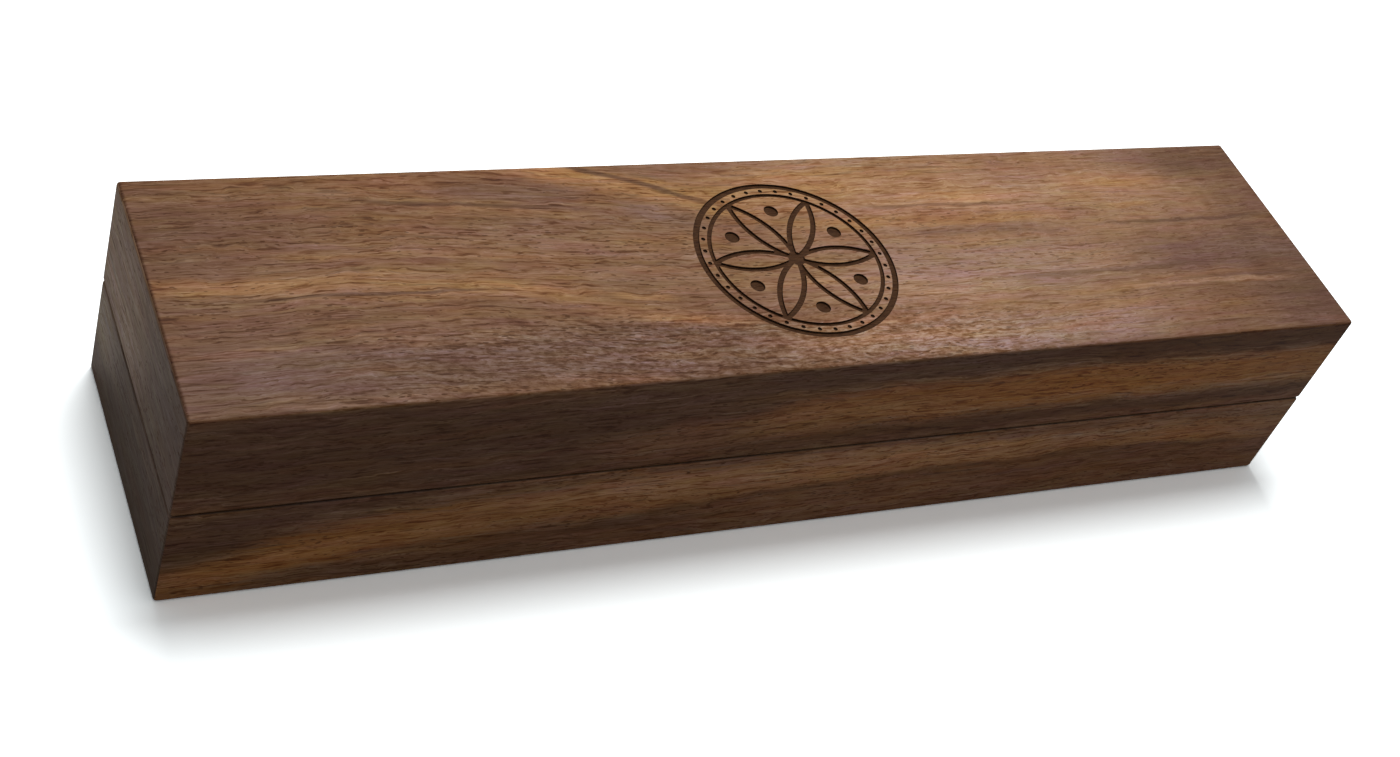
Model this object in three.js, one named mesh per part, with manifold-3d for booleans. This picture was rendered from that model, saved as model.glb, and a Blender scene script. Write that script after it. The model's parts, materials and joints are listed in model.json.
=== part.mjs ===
// A hinged walnut case that shows and stores one fixed-blade knife on a cut-out bed.
// Millimetres, +Z up. X runs along the case, -Y is the front and +Y the hinge side.
// The origin is the centre of the underside, and the case is shut.
import * as THREE from 'three';
import { ConvexGeometry } from 'three/addons/geometries/ConvexGeometry.js';
import { RoundedBoxGeometry } from 'three/addons/geometries/RoundedBoxGeometry.js';
import { mergeVertices } from 'three/addons/utils/BufferGeometryUtils.js';
import Module from 'manifold-3d';

// Case
const caseLength = 330;
const caseWidth = 75;
const caseHeight = 63;
const seamHeight = 31; // middle of the seam between base and lid
const seamGap = 0.4;
const boardThickness = 8;
const edgeRound = 1; // on every outside edge, the two rims included
const glueLine = 0.1; // between mitred boards

// Bottom panel, let into a rabbet round the base
const bottomThickness = 5;
const rabbetDepth = 4;
const panelPlay = 0.3;

// Soft lining
const softPlay = 0.3;
const floorPadThickness = 4;
const bedDrop = 4.2; // bed's face below the rim of the base
const padBoardThickness = 1.5;
const padEdgeThickness = 8;
const padCrown = 3;
const padDrawIn = 0.8; // how far the pad's sides pull in between its corners

// Knife-shaped pocket in the bed: handle to the left, point to the right
const bedEndMargin = 21.7; // from the butt and the point to the ends of the bed
const bedSideMargin = 5.7; // from the guard to the sides of the bed
const handleLength = 118;
const handleBulge = 2; // extra half-width at the middle of the handle
const buttRoundShare = 0.36; // of the handle's width
const guardLength = 12;
const guardOverhang = 7; // guard beyond the handle, on each side
const bladeEase = 1; // blade inside the line of the handle, on each side
const edgeSweep = 58; // length over which the cutting edge curves up to the point
const spineSweep = 46; // length over which the spine drops to the point
const pointRise = 6; // point above the blade's middle line
const scallopPlace = 58; // from the butt to the finger scallops
const scallopLength = 26;
const scallopMargin = 2.4; // from a scallop to the side of the bed

// Stop hinges
const hingeInset = 62; // case end to hinge centre
const hingeLength = 30;
const leafThickness = 2.4;
const mortiseLip = 1.5; // wood left between a mortise and the inside of the case
const mortisePlay = 0.3;
const pinOffset = 0.2; // pin axis behind the back of the case
const pinRadius = 0.8;
const pinPlay = 0.15;
const barrelWall = 0.95;
const barrelPlay = 0.3;
const openAngle = 95; // degrees, where the two heels meet
const heelGap = 0.3; // left between the heels when the lid is fully open

// Countersunk screws, two in each leaf
const screwLength = 8;
const screwLand = 0.55; // leaf left on either side of a screw's head
const screwShankShare = 0.52; // of the head's radius
const screwHeadHeight = 0.9;
const screwPointLength = 2;
const screwInset = 7; // leaf end to screw
const screwPlay = 0.15;
const screwSink = 0.1; // head below the face of the leaf
const slotWidth = 0.4;
const slotDepth = 0.5;

// Closing magnets, let into the two front rims
const magnetRadius = 2.5;
const magnetThickness = 2.5;
const magnetInset = 48; // case end to magnet
const magnetPlay = 0.2;
const magnetSink = 0.1;

// Engraved rosette in the middle of the lid
const engraveDepth = 0.6;
const outerRingRadius = 27;
const outerRingLine = 1.7;
const innerRingRadius = 23.5;
const innerRingLine = 1.2;
const petalLine = 1.5;
const petalCount = 6;
const rosetteEyeRadius = 2.4;
const budRadius = 2;
const budPlace = 17.5; // from the middle of the rosette, between two petals

// Fineness
const cutOverrun = 4;
const roundSegments = 2;
const arcSegments = 8;
const barrelSides = 20;
const pinSides = 16;
const screwSides = 12;
const magnetSides = 24;
const ringSides = 60;
const petalSides = 12;
const budSides = 16;
const padLengthSteps = 16;
const padWidthSteps = 8;
const padHeightSteps = 2;
const mergeTolerance = 1e-4;

// Levels and reaches that follow from the sizes above
const baseHeight = seamHeight - seamGap / 2;
const lidBottom = seamHeight + seamGap / 2;
const lidHeight = caseHeight - lidBottom;
const mitreSetback = glueLine / Math.SQRT2;
const innerLength = caseLength - 2 * boardThickness;
const innerWidth = caseWidth - 2 * boardThickness;
const softLength = innerLength - 2 * softPlay;
const softWidth = innerWidth - 2 * softPlay;
const floorPadBottom = bottomThickness + softPlay;
const bedBottom = floorPadBottom + floorPadThickness + softPlay;
const bedThickness = baseHeight - bedDrop - bedBottom;
const guardWidth = softWidth - 2 * bedSideMargin;
const handleWidth = guardWidth - 2 * guardOverhang;
const bladeWidth = handleWidth - 2 * bladeEase;
const buttRadius = handleWidth * buttRoundShare;
const padBoardTop = caseHeight - boardThickness - softPlay;
const padTop = padBoardTop - padBoardThickness - softPlay;
const pinY = caseWidth / 2 + pinOffset;
const hingeX = caseLength / 2 - hingeInset;
const leafReach = boardThickness - mortiseLip - mortisePlay + pinOffset; // from the pin axis
const boreRadius = pinRadius + pinPlay;
const barrelRadius = boreRadius + barrelWall;
const screwX = hingeLength / 2 - screwInset;
const leafFlatStart = barrelRadius + barrelPlay; // from the pin axis
const screwY = (leafFlatStart + leafReach) / 2;
const screwHeadRadius = (leafReach - leafFlatStart) / 2 - screwLand;
const screwRadius = screwHeadRadius * screwShankShare;
const magnetX = caseLength / 2 - magnetInset;
const magnetY = (caseWidth - boardThickness) / 2;

const walnut = new THREE.MeshStandardMaterial({ color: 0x7a5638, roughness: 0.55, metalness: 0 });
const blackNap = new THREE.MeshStandardMaterial({ color: 0x17171a, roughness: 0.95, metalness: 0 });
const greyCard = new THREE.MeshStandardMaterial({ color: 0x77736c, roughness: 0.9, metalness: 0 });
const brass = new THREE.MeshStandardMaterial({ color: 0xb08d45, roughness: 0.35, metalness: 1 });
const nickel = new THREE.MeshStandardMaterial({ color: 0xc9c9c6, roughness: 0.25, metalness: 1 });

const wasm = await Module();
wasm.setup();

// Solids and geometries

function solidFrom(geometry) {
  const bare = geometry.clone();
  bare.deleteAttribute('normal');
  bare.deleteAttribute('uv');
  const merged = mergeVertices(bare, mergeTolerance);
  const vertProperties = merged.attributes.position.array;
  const triVerts = new Uint32Array(merged.index.array);
  return new wasm.Manifold(new wasm.Mesh({ numProp: 3, vertProperties, triVerts }));
}

function geometryFrom(solid) {
  const mesh = solid.getMesh();
  const geometry = new THREE.BufferGeometry();
  geometry.setAttribute('position', new THREE.BufferAttribute(mesh.vertProperties, 3));
  geometry.setIndex(new THREE.BufferAttribute(mesh.triVerts, 1));
  const faceted = geometry.toNonIndexed();
  faceted.computeVertexNormals();
  return faceted;
}

function boxSolid(length, width, height, x, y, z) {
  return solidFrom(new THREE.BoxGeometry(length, width, height).translate(x, y, z));
}

// A hull between a lower and an upper rectangle, each [half length, y from, y to, z].
function taperedBlock(rectangles) {
  const corners = rectangles.flatMap(([half, fromY, toY, z]) => [
    new THREE.Vector3(-half, fromY, z),
    new THREE.Vector3(half, fromY, z),
    new THREE.Vector3(half, toY, z),
    new THREE.Vector3(-half, toY, z),
  ]);
  return solidFrom(new ConvexGeometry(corners));
}

// A turned solid whose profile of [radius, height] points starts and ends on the Z axis.
function turned(profile, sides) {
  const points = profile.map(([radius, height]) => new THREE.Vector2(radius, height));
  return new THREE.LatheGeometry(points, sides).rotateX(Math.PI / 2);
}

function rod(radius, length, sides) {
  return new THREE.CylinderGeometry(radius, radius, length, sides).rotateZ(Math.PI / 2);
}

function extruded(shape, depth, curveSegments) {
  return new THREE.ExtrudeGeometry(shape, { depth, curveSegments, bevelEnabled: false });
}

function meshOf(name, geometry, material) {
  const mesh = new THREE.Mesh(geometry, material);
  mesh.name = name;
  return mesh;
}

// Boards. A rail is built with its outside face on y = 0, its inside at y = boardThickness and
// its foot on z = 0.

// Half of a mitred rail's length at a depth behind its outside face.
function mitreHalf(length, depth) {
  return length / 2 - depth - mitreSetback;
}

function railWedge(length, height, mitredTop) {
  const innerTop = mitredTop ? height - boardThickness - mitreSetback : height + cutOverrun;
  const outerTop = mitredTop ? height + cutOverrun - mitreSetback : height + cutOverrun;
  const corners = [];
  for (const [depth, top] of [[-cutOverrun, outerTop], [boardThickness, innerTop]]) {
    for (const side of [-1, 1]) {
      corners.push(new THREE.Vector3(side * mitreHalf(length, depth), depth, -cutOverrun));
      corners.push(new THREE.Vector3(side * mitreHalf(length, depth), depth, top));
    }
  }
  return solidFrom(new ConvexGeometry(corners));
}

// The rounded outer block that a rail is sawn from, seen from that rail.
function roundedBlock(length, width, height) {
  const block = new RoundedBoxGeometry(length, width, height, roundSegments, edgeRound);
  return solidFrom(block.translate(0, width / 2, height / 2));
}

function railSolid(length, width, height, mitredTop) {
  return roundedBlock(length, width, height).intersect(railWedge(length, height, mitredTop));
}

function baseRail(length, width) {
  const depth = boardThickness - rabbetDepth;
  const height = bottomThickness + panelPlay;
  const rabbet = boxSolid(
    length - 2 * depth, rabbetDepth + cutOverrun, height + cutOverrun,
    0, depth + (rabbetDepth + cutOverrun) / 2, (height - cutOverrun) / 2,
  );
  return railSolid(length, width, baseHeight, false).subtract(rabbet);
}

function lidRail(length, width) {
  return railSolid(length, width, lidHeight, true);
}

// Pockets for one hinge leaf, its screws and one magnet. Up is the direction that leaves the rim.
function leafMortise(rimHeight, up) {
  const height = leafThickness + mortisePlay;
  const depth = leafReach - pinOffset + mortisePlay;
  return boxSolid(
    hingeLength + 2 * mortisePlay, depth + cutOverrun, height + cutOverrun,
    0, (depth - cutOverrun) / 2, rimHeight + (up * (cutOverrun - height)) / 2,
  );
}

function pilotHole(x, rimHeight, up) {
  const length = screwLength + screwSink + screwPlay;
  const radius = screwRadius + screwPlay;
  const hole = turned([[0, 0], [radius, 0], [radius, length], [0, length]], screwSides);
  const flipped = up > 0 ? hole.rotateX(Math.PI) : hole;
  return solidFrom(flipped.translate(x, screwY - pinOffset, rimHeight));
}

function hingePockets(rimHeight, up) {
  return [-hingeX, hingeX].flatMap((x) => [
    leafMortise(rimHeight, up).translate(x, 0, 0),
    pilotHole(x - screwX, rimHeight, up),
    pilotHole(x + screwX, rimHeight, up),
  ]);
}

function magnetPockets(rimHeight, up) {
  const height = magnetThickness + magnetSink + magnetPlay;
  const pocket = new THREE.CylinderGeometry(
    magnetRadius + magnetPlay, magnetRadius + magnetPlay, height + cutOverrun, magnetSides,
  ).rotateX(Math.PI / 2).translate(0, boardThickness / 2, rimHeight + (up * (cutOverrun - height)) / 2);
  return [-magnetX, magnetX].map((x) => solidFrom(pocket.clone().translate(x, 0, 0)));
}

function cutAll(solid, cutters) {
  return cutters.reduce((rest, cutter) => rest.subtract(cutter), solid);
}

// Puts a rail on its side of the case: 0 front, 1 right end, 2 back, 3 left end.
function placeRail(mesh, side) {
  const reach = side % 2 === 0 ? caseWidth / 2 : caseLength / 2;
  mesh.rotation.z = (side * Math.PI) / 2;
  mesh.position.set(0, -reach, 0).applyEuler(mesh.rotation);
  return mesh;
}

function railSet(prefix, makeRail, rimHeight, up) {
  const longRail = () => makeRail(caseLength, caseWidth);
  const endRail = () => makeRail(caseWidth, caseLength);
  const solids = {
    front: cutAll(longRail(), magnetPockets(rimHeight, up)),
    right: endRail(),
    back: cutAll(longRail(), hingePockets(rimHeight, up)),
    left: endRail(),
  };
  return Object.entries(solids).map(([side, solid], index) => (
    placeRail(meshOf(`${prefix}_${side}_rail`, geometryFrom(solid), walnut), index)
  ));
}

function bottomPanel() {
  const around = 2 * (boardThickness - rabbetDepth + panelPlay);
  const panel = new THREE.BoxGeometry(caseLength - around, caseWidth - around, bottomThickness);
  const mesh = meshOf('base_bottom_panel', panel, walnut);
  mesh.position.z = bottomThickness / 2;
  return mesh;
}

// Engraving: two rings, six compass arcs that meet in a rosette, an eye and six buds, cut down from
// the top of the lid.

function ringShape(radius, line) {
  const shape = new THREE.Shape().absarc(0, 0, radius + line / 2, 0, 2 * Math.PI);
  shape.holes.push(new THREE.Path().absarc(0, 0, radius - line / 2, 0, 2 * Math.PI));
  return shape;
}

// One arc through the middle, struck from a point on the inner ring, as a band of the petal line's width.
function petalArcShape(turn) {
  const centreX = innerRingRadius * Math.cos(turn);
  const centreY = innerRingRadius * Math.sin(turn);
  const from = turn + Math.PI - Math.PI / 3;
  const to = turn + Math.PI + Math.PI / 3;
  return new THREE.Shape()
    .absarc(centreX, centreY, innerRingRadius + petalLine / 2, from, to, false)
    .absarc(centreX, centreY, innerRingRadius - petalLine / 2, to, from, true);
}

// A round engraved pit at a distance from the middle, towards a turn.
function pit(radius, depth, distance, turn) {
  const disc = new THREE.CylinderGeometry(radius, radius, depth, budSides);
  const x = distance * Math.cos(turn);
  const y = distance * Math.sin(turn);
  return solidFrom(disc.rotateX(Math.PI / 2).translate(x, y, depth / 2));
}

function engravingSolid(topHeight) {
  const depth = engraveDepth + cutOverrun;
  const grooves = [
    solidFrom(extruded(ringShape(outerRingRadius, outerRingLine), depth, ringSides)),
    solidFrom(extruded(ringShape(innerRingRadius, innerRingLine), depth, ringSides)),
    pit(rosetteEyeRadius, depth, 0, 0),
  ];
  for (let petal = 0; petal < petalCount; petal += 1) {
    const turn = (petal * 2 * Math.PI) / petalCount;
    grooves.push(solidFrom(extruded(petalArcShape(turn), depth, petalSides)));
    grooves.push(pit(budRadius, depth, budPlace, turn + Math.PI / petalCount));
  }
  const joined = grooves.reduce((all, groove) => all.add(groove));
  return joined.translate(0, 0, topHeight - engraveDepth);
}

function lidTopPanel() {
  const innerHalf = mitreHalf(caseLength, boardThickness);
  const outerHalf = mitreHalf(caseLength, -cutOverrun);
  const innerSide = mitreHalf(caseWidth, boardThickness);
  const outerSide = mitreHalf(caseWidth, -cutOverrun);
  const wedge = taperedBlock([
    [innerHalf, -innerSide, innerSide, lidHeight - boardThickness],
    [outerHalf, -outerSide, outerSide, lidHeight + cutOverrun],
  ]);
  const block = roundedBlock(caseLength, caseWidth, lidHeight).translate(0, -caseWidth / 2, 0);
  const panel = block.intersect(wedge).subtract(engravingSolid(lidHeight));
  return meshOf('lid_top_panel', geometryFrom(panel), walnut);
}

// Lining

// Outline of the knife pocket, butt at the left and point at the right, centred along X.
function pocketPath() {
  const butt = bedEndMargin - softLength / 2;
  const guardStart = butt + handleLength;
  const guardEnd = guardStart + guardLength;
  const point = softLength / 2 - bedEndMargin;
  const scallop = butt + scallopPlace;
  const scallopStart = scallop - scallopLength / 2;
  const scallopEnd = scallop + scallopLength / 2;
  const grip = handleWidth / 2 + handleBulge;
  const scallopDepth = softWidth / 2 - scallopMargin - grip;
  const buttCurve = (butt + buttRadius + scallopStart) / 2;
  const guardCurve = (scallopEnd + guardStart) / 2;
  const path = new THREE.Path();
  path.moveTo(butt, 0);
  path.lineTo(butt, handleWidth / 2 - buttRadius);
  path.absarc(butt + buttRadius, handleWidth / 2 - buttRadius, buttRadius, Math.PI, Math.PI / 2, true);
  path.quadraticCurveTo(buttCurve, grip, scallopStart, grip);
  path.absellipse(scallop, grip, scallopLength / 2, scallopDepth, Math.PI, 0, true);
  path.quadraticCurveTo(guardCurve, grip, guardStart, handleWidth / 2);
  path.lineTo(guardStart, guardWidth / 2);
  path.lineTo(guardEnd, guardWidth / 2);
  path.lineTo(guardEnd, bladeWidth / 2);
  path.lineTo(point - spineSweep, bladeWidth / 2);
  path.quadraticCurveTo(point - spineSweep / 2, bladeWidth / 2, point, pointRise);
  path.quadraticCurveTo(point - edgeSweep / 2, -bladeWidth / 2, point - edgeSweep, -bladeWidth / 2);
  path.lineTo(guardEnd, -bladeWidth / 2);
  path.lineTo(guardEnd, -guardWidth / 2);
  path.lineTo(guardStart, -guardWidth / 2);
  path.lineTo(guardStart, -handleWidth / 2);
  path.quadraticCurveTo(guardCurve, -grip, scallopEnd, -grip);
  path.absellipse(scallop, -grip, scallopLength / 2, scallopDepth, 0, Math.PI, true);
  path.quadraticCurveTo(buttCurve, -grip, butt + buttRadius, -handleWidth / 2);
  path.absarc(butt + buttRadius, buttRadius - handleWidth / 2, buttRadius, -Math.PI / 2, -Math.PI, true);
  path.lineTo(butt, 0);
  return path;
}

function knifeBed() {
  const outline = new THREE.Shape();
  outline.moveTo(-softLength / 2, -softWidth / 2);
  outline.lineTo(softLength / 2, -softWidth / 2);
  outline.lineTo(softLength / 2, softWidth / 2);
  outline.lineTo(-softLength / 2, softWidth / 2);
  outline.holes.push(pocketPath());
  const mesh = meshOf('knife_bed', extruded(outline, bedThickness, arcSegments), blackNap);
  mesh.position.z = bedBottom;
  return mesh;
}

function floorPad() {
  const pad = new THREE.BoxGeometry(softLength, softWidth, floorPadThickness);
  const mesh = meshOf('bed_floor_pad', pad, blackNap);
  mesh.position.z = floorPadBottom + floorPadThickness / 2;
  return mesh;
}

function padBoard() {
  const board = new THREE.BoxGeometry(softLength, softWidth, padBoardThickness);
  const mesh = meshOf('lid_pad_board', board, greyCard);
  mesh.position.z = padBoardTop - padBoardThickness / 2;
  return mesh;
}

// The lid's cushion: flat against its board, crowned below, and drawn in along its sides.
function lidPad() {
  const pad = new THREE.BoxGeometry(
    softLength, softWidth, padEdgeThickness, padLengthSteps, padWidthSteps, padHeightSteps,
  );
  const place = pad.attributes.position;
  for (let i = 0; i < place.count; i += 1) {
    const along = (2 * place.getX(i)) / softLength;
    const across = (2 * place.getY(i)) / softWidth;
    const level = (2 * place.getZ(i)) / padEdgeThickness;
    const fullness = (1 - along ** 8) * (1 - across ** 4);
    const lowered = level < 0 ? padCrown * fullness : 0;
    place.setX(i, place.getX(i) - padDrawIn * along * (1 - across ** 2));
    place.setY(i, place.getY(i) - padDrawIn * across * (1 - along ** 2));
    place.setZ(i, place.getZ(i) + lowered * level);
  }
  pad.computeVertexNormals();
  const mesh = meshOf('lid_pad', pad, blackNap);
  mesh.position.z = padTop - padEdgeThickness / 2;
  return mesh;
}

// Hinges. Each is built with its pin axis on the X axis, the back of the case towards +Y.

// Section of the base's leaf: a flat plate whose heel runs past the pin and is bevelled at half the
// opening angle, so that the two heels meet when the lid is fully open.
function leafSection() {
  const face = -seamGap / 2;
  const bevel = THREE.MathUtils.degToRad(openAngle / 2);
  const setback = heelGap / 2;
  const heelAt = (level) => {
    const along = (-level - setback * Math.cos(bevel)) / Math.sin(bevel);
    return along * Math.cos(bevel) - setback * Math.sin(bevel);
  };
  const back = face - leafThickness;
  const section = new THREE.Shape();
  section.moveTo(-leafReach, back);
  section.lineTo(heelAt(back), back);
  section.lineTo(heelAt(face), face);
  section.lineTo(-leafReach, face);
  section.closePath();
  return section;
}

// The section stands in the YZ plane and is run along X, centred.
function leafPlate() {
  const plate = extruded(leafSection(), hingeLength, 1);
  return solidFrom(plate.translate(0, 0, -hingeLength / 2).rotateY(Math.PI / 2).rotateX(Math.PI / 2));
}

function screwProfile(play) {
  const head = screwHeadRadius + play;
  const shank = screwRadius + play;
  const neck = -screwHeadHeight - play;
  const tip = -screwLength - play;
  return [[0, tip], [shank, tip + screwPointLength], [shank, neck], [head, -play / 2], [head, 0], [0, 0]];
}

// Countersunk hole through a leaf of the base, its mouth at the leaf's face.
function leafHole(x) {
  const top = -seamGap / 2 - screwSink;
  const radius = screwHeadRadius + screwPlay;
  const hole = turned(screwProfile(screwPlay), screwSides);
  const mouth = turned(
    [[0, -screwPlay], [radius, -screwPlay], [radius, cutOverrun], [0, cutOverrun]], screwSides,
  );
  return solidFrom(hole).add(solidFrom(mouth)).translate(x, -screwY, top);
}

// Middle and length of each barrel: the base's leaf carries the middle one, the lid's leaf the outer two.
function barrelSpans(onBase) {
  const third = hingeLength / 3;
  const outerMiddle = third + barrelPlay / 4;
  const outerLength = third - barrelPlay / 2;
  return onBase ? [[0, third - barrelPlay]] : [[-outerMiddle, outerLength], [outerMiddle, outerLength]];
}

function barrels(onBase, radius, extra) {
  return barrelSpans(onBase).map(([x, length]) => (
    solidFrom(rod(radius, length + extra, barrelSides).translate(x, 0, 0))
  ));
}

// A leaf as it lies on the base, with its own barrels joined on and room for the other leaf's.
function leafSolid(onBase) {
  const others = barrels(!onBase, barrelRadius + barrelPlay, 2 * barrelPlay);
  const plate = cutAll(leafPlate(), others);
  const joined = barrels(onBase, barrelRadius, 0).reduce((all, barrel) => all.add(barrel), plate);
  const bore = solidFrom(rod(boreRadius, hingeLength + cutOverrun, pinSides));
  return cutAll(joined, [bore, leafHole(-screwX), leafHole(screwX)]);
}

// A countersunk slotted screw standing point down, the top of its head on z = 0.
function screwSolid() {
  const body = solidFrom(turned(screwProfile(0), screwSides));
  const slot = boxSolid(2 * screwHeadRadius + cutOverrun, slotWidth, 2 * slotDepth, 0, 0, 0);
  return body.subtract(slot);
}

// One leaf and its two screws. The lid's are the same, turned over about the Y axis.
function leafAssembly(body, side, x) {
  const onBase = body === 'base';
  const group = new THREE.Group();
  group.position.set(x, pinY, seamHeight);
  group.rotation.y = onBase ? 0 : Math.PI;
  group.add(meshOf(`${body}_hinge_leaf_${side}`, geometryFrom(leafSolid(onBase)), brass));
  const inward = -Math.sign(x) * (onBase ? 1 : -1);
  for (const [end, place] of [['outer', -screwX], ['inner', screwX]]) {
    const screw = meshOf(`${body}_hinge_screw_${side}_${end}`, geometryFrom(screwSolid()), brass);
    screw.position.set(inward * place, -screwY, -seamGap / 2 - screwSink);
    group.add(screw);
  }
  return group;
}

function hingePin(side, x) {
  const mesh = meshOf(`hinge_pin_${side}`, rod(pinRadius, hingeLength, pinSides), brass);
  mesh.position.set(x, pinY, seamHeight);
  return mesh;
}

function magnet(body, side, x) {
  const disc = new THREE.CylinderGeometry(magnetRadius, magnetRadius, magnetThickness, magnetSides);
  const mesh = meshOf(`${body}_magnet_${side}`, disc.rotateX(Math.PI / 2), nickel);
  const depth = seamGap / 2 + magnetSink + magnetThickness / 2;
  mesh.position.set(x, -magnetY, body === 'base' ? seamHeight - depth : seamHeight + depth);
  return mesh;
}

function fittings(body) {
  return [['left', -1], ['right', 1]].flatMap(([side, sign]) => [
    leafAssembly(body, side, sign * hingeX),
    magnet(body, side, sign * magnetX),
  ]);
}

// Assembly

function baseGroup() {
  const group = new THREE.Group();
  group.add(...railSet('base', baseRail, baseHeight, 1), bottomPanel());
  group.add(floorPad(), knifeBed());
  group.add(...fittings('base'), hingePin('left', -hingeX), hingePin('right', hingeX));
  return group;
}

function lidGroup() {
  const boards = new THREE.Group();
  boards.position.z = lidBottom;
  boards.add(...railSet('lid', lidRail, 0, -1), lidTopPanel());
  const group = new THREE.Group();
  group.add(boards, padBoard(), lidPad(), ...fittings('lid'));
  return group;
}

const knifeCase = new THREE.Group();
knifeCase.add(baseGroup(), lidGroup());

export default knifeCase;
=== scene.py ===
import json
from math import cos, pi, radians, sin

import bmesh
import bpy
from mathutils import Matrix, Quaternion, Vector, noise


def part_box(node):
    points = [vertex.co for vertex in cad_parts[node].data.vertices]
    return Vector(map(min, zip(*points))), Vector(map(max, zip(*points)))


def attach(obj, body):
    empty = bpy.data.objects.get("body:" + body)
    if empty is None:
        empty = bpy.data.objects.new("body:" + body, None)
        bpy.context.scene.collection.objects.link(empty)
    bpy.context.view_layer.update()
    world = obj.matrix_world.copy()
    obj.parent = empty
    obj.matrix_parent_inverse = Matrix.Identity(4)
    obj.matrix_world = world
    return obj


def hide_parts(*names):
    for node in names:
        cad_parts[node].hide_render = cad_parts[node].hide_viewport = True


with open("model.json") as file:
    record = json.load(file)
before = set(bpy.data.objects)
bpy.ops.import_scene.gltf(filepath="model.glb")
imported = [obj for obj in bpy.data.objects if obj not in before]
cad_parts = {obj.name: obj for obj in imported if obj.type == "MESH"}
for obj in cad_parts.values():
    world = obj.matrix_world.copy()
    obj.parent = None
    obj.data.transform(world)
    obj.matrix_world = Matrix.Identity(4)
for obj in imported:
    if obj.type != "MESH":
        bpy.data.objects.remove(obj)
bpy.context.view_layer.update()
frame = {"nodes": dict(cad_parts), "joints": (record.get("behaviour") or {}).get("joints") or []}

MM = 0.001
PER_MM = 1000.0
UP = Vector((0, 0, 1))

# Camera: the photograph's place, aim, roll and lens
CAMERA_PLACE = Vector((-271.36, -324.49, 401.62)) * MM
CAMERA_AIM = Vector((-43.24, -37.51, 63)) * MM
CAMERA_ROLL = radians(23.42)
CAMERA_LENS = 54.16
CAMERA_REACH = (0.01, 50)
SENSOR_WIDTH = 36.0

# Woodwork
EDGE_RADIUS = 0.9 * MM
RIM_RADIUS = 0.8 * MM
EDGE_STEPS = 5
INNER_EASE = 0.25 * MM
PANEL_EASE = 0.3 * MM
JOINT_GAP = 0.01 * MM
PANEL_PLAY = 0.05 * MM
RABBET_PLAY = 0.3 * MM
MORTISE_PLAY = 0.15 * MM
POCKET_PLAY = 0.1 * MM
OVERRUN = 4 * MM
CURVE_SIDES = 48
SAME_PLACE = 1e-6
WOOD_SHARP = radians(32)

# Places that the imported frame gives
FRONT_LOW, FRONT_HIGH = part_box("base_front_rail")
PANEL_LOW, PANEL_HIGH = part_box("base_bottom_panel")
PIN_LOW, PIN_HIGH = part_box("hinge_pin_left")
HALF_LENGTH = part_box("base_right_rail")[1].x
HALF_WIDTH = -FRONT_LOW.y
BOARD = FRONT_HIGH.y - FRONT_LOW.y
BASE_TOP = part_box("base_left_rail")[1].z
LID_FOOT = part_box("lid_left_rail")[0].z
LID_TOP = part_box("lid_top_panel")[1].z
SEAM = (BASE_TOP + LID_FOOT) / 2
PIN_Z = (PIN_LOW.z + PIN_HIGH.z) / 2
PIN_Y = (PIN_LOW.y + PIN_HIGH.y) / 2
PIN_RADIUS = (PIN_HIGH.z - PIN_LOW.z) / 2
PAIR = ("left", "right")


# Meshes

def new_object(name, data):
    obj = bpy.data.objects.new(name, data)
    bpy.context.scene.collection.objects.link(obj)
    return obj


def object_of(name, shape):
    """A new object from a bmesh, which is freed."""
    mesh = bpy.data.meshes.new(name)
    shape.normal_update()
    shape.to_mesh(mesh)
    shape.free()
    return new_object(name, mesh)


def applied(obj):
    """Bakes an object's modifiers into its own mesh."""
    graph = bpy.context.evaluated_depsgraph_get()
    mesh = bpy.data.meshes.new_from_object(
        obj.evaluated_get(graph), preserve_all_data_layers=True, depsgraph=graph
    )
    old = obj.data
    obj.modifiers.clear()
    obj.data = mesh
    mesh.name = obj.name
    bpy.data.meshes.remove(old)
    return obj


def modified(obj, kind, **settings):
    """Adds one modifier to an object and bakes it in."""
    modifier = obj.modifiers.new(kind.lower(), kind)
    for name, value in settings.items():
        setattr(modifier, name, value)
    return applied(obj)


def combined(obj, others, operation):
    """Joins other objects to obj or cuts them from it, and removes them."""
    for other in others:
        modified(obj, "BOOLEAN", operation=operation, solver="EXACT", object=other)
        bpy.data.objects.remove(other)
    return obj


def cut(obj, cutters):
    return combined(obj, cutters, "DIFFERENCE")


def smooth_all(obj):
    for face in obj.data.polygons:
        face.use_smooth = True
    return obj


def shaded(obj, angle=WOOD_SHARP):
    """Smooth shading over rounded edges, with the broad faces kept flat."""
    smooth_all(obj).data.set_sharp_from_angle(angle=angle)
    return modified(obj, "WEIGHTED_NORMAL", keep_sharp=True, weight=100)


def cuboid(low, high):
    """A bmesh block between two corners."""
    shape = bmesh.new()
    bmesh.ops.create_cube(shape, size=1)
    size = Vector(high) - Vector(low)
    middle = (Vector(high) + Vector(low)) / 2
    shape.transform(Matrix.Translation(middle) @ Matrix.Diagonal((*size, 1)))
    return shape


def box_object(low, high):
    return object_of("box", cuboid(low, high))


def cone_object(foot, top, depth, place, sides):
    """A closed round solid with the radius of its foot and of its top."""
    shape = bmesh.new()
    bmesh.ops.create_cone(shape, cap_ends=True, segments=sides, radius1=foot, radius2=top, depth=depth)
    shape.transform(place)
    return object_of("cone", shape)


def rod_object(radius, start, end, sides=CURVE_SIDES):
    """A closed round bar between two points."""
    start, end = Vector(start), Vector(end)
    turn = (end - start).to_track_quat("Z", "Y").to_matrix().to_4x4()
    place = Matrix.Translation((start + end) / 2) @ turn
    return cone_object(radius, radius, (end - start).length, place, sides)


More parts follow.
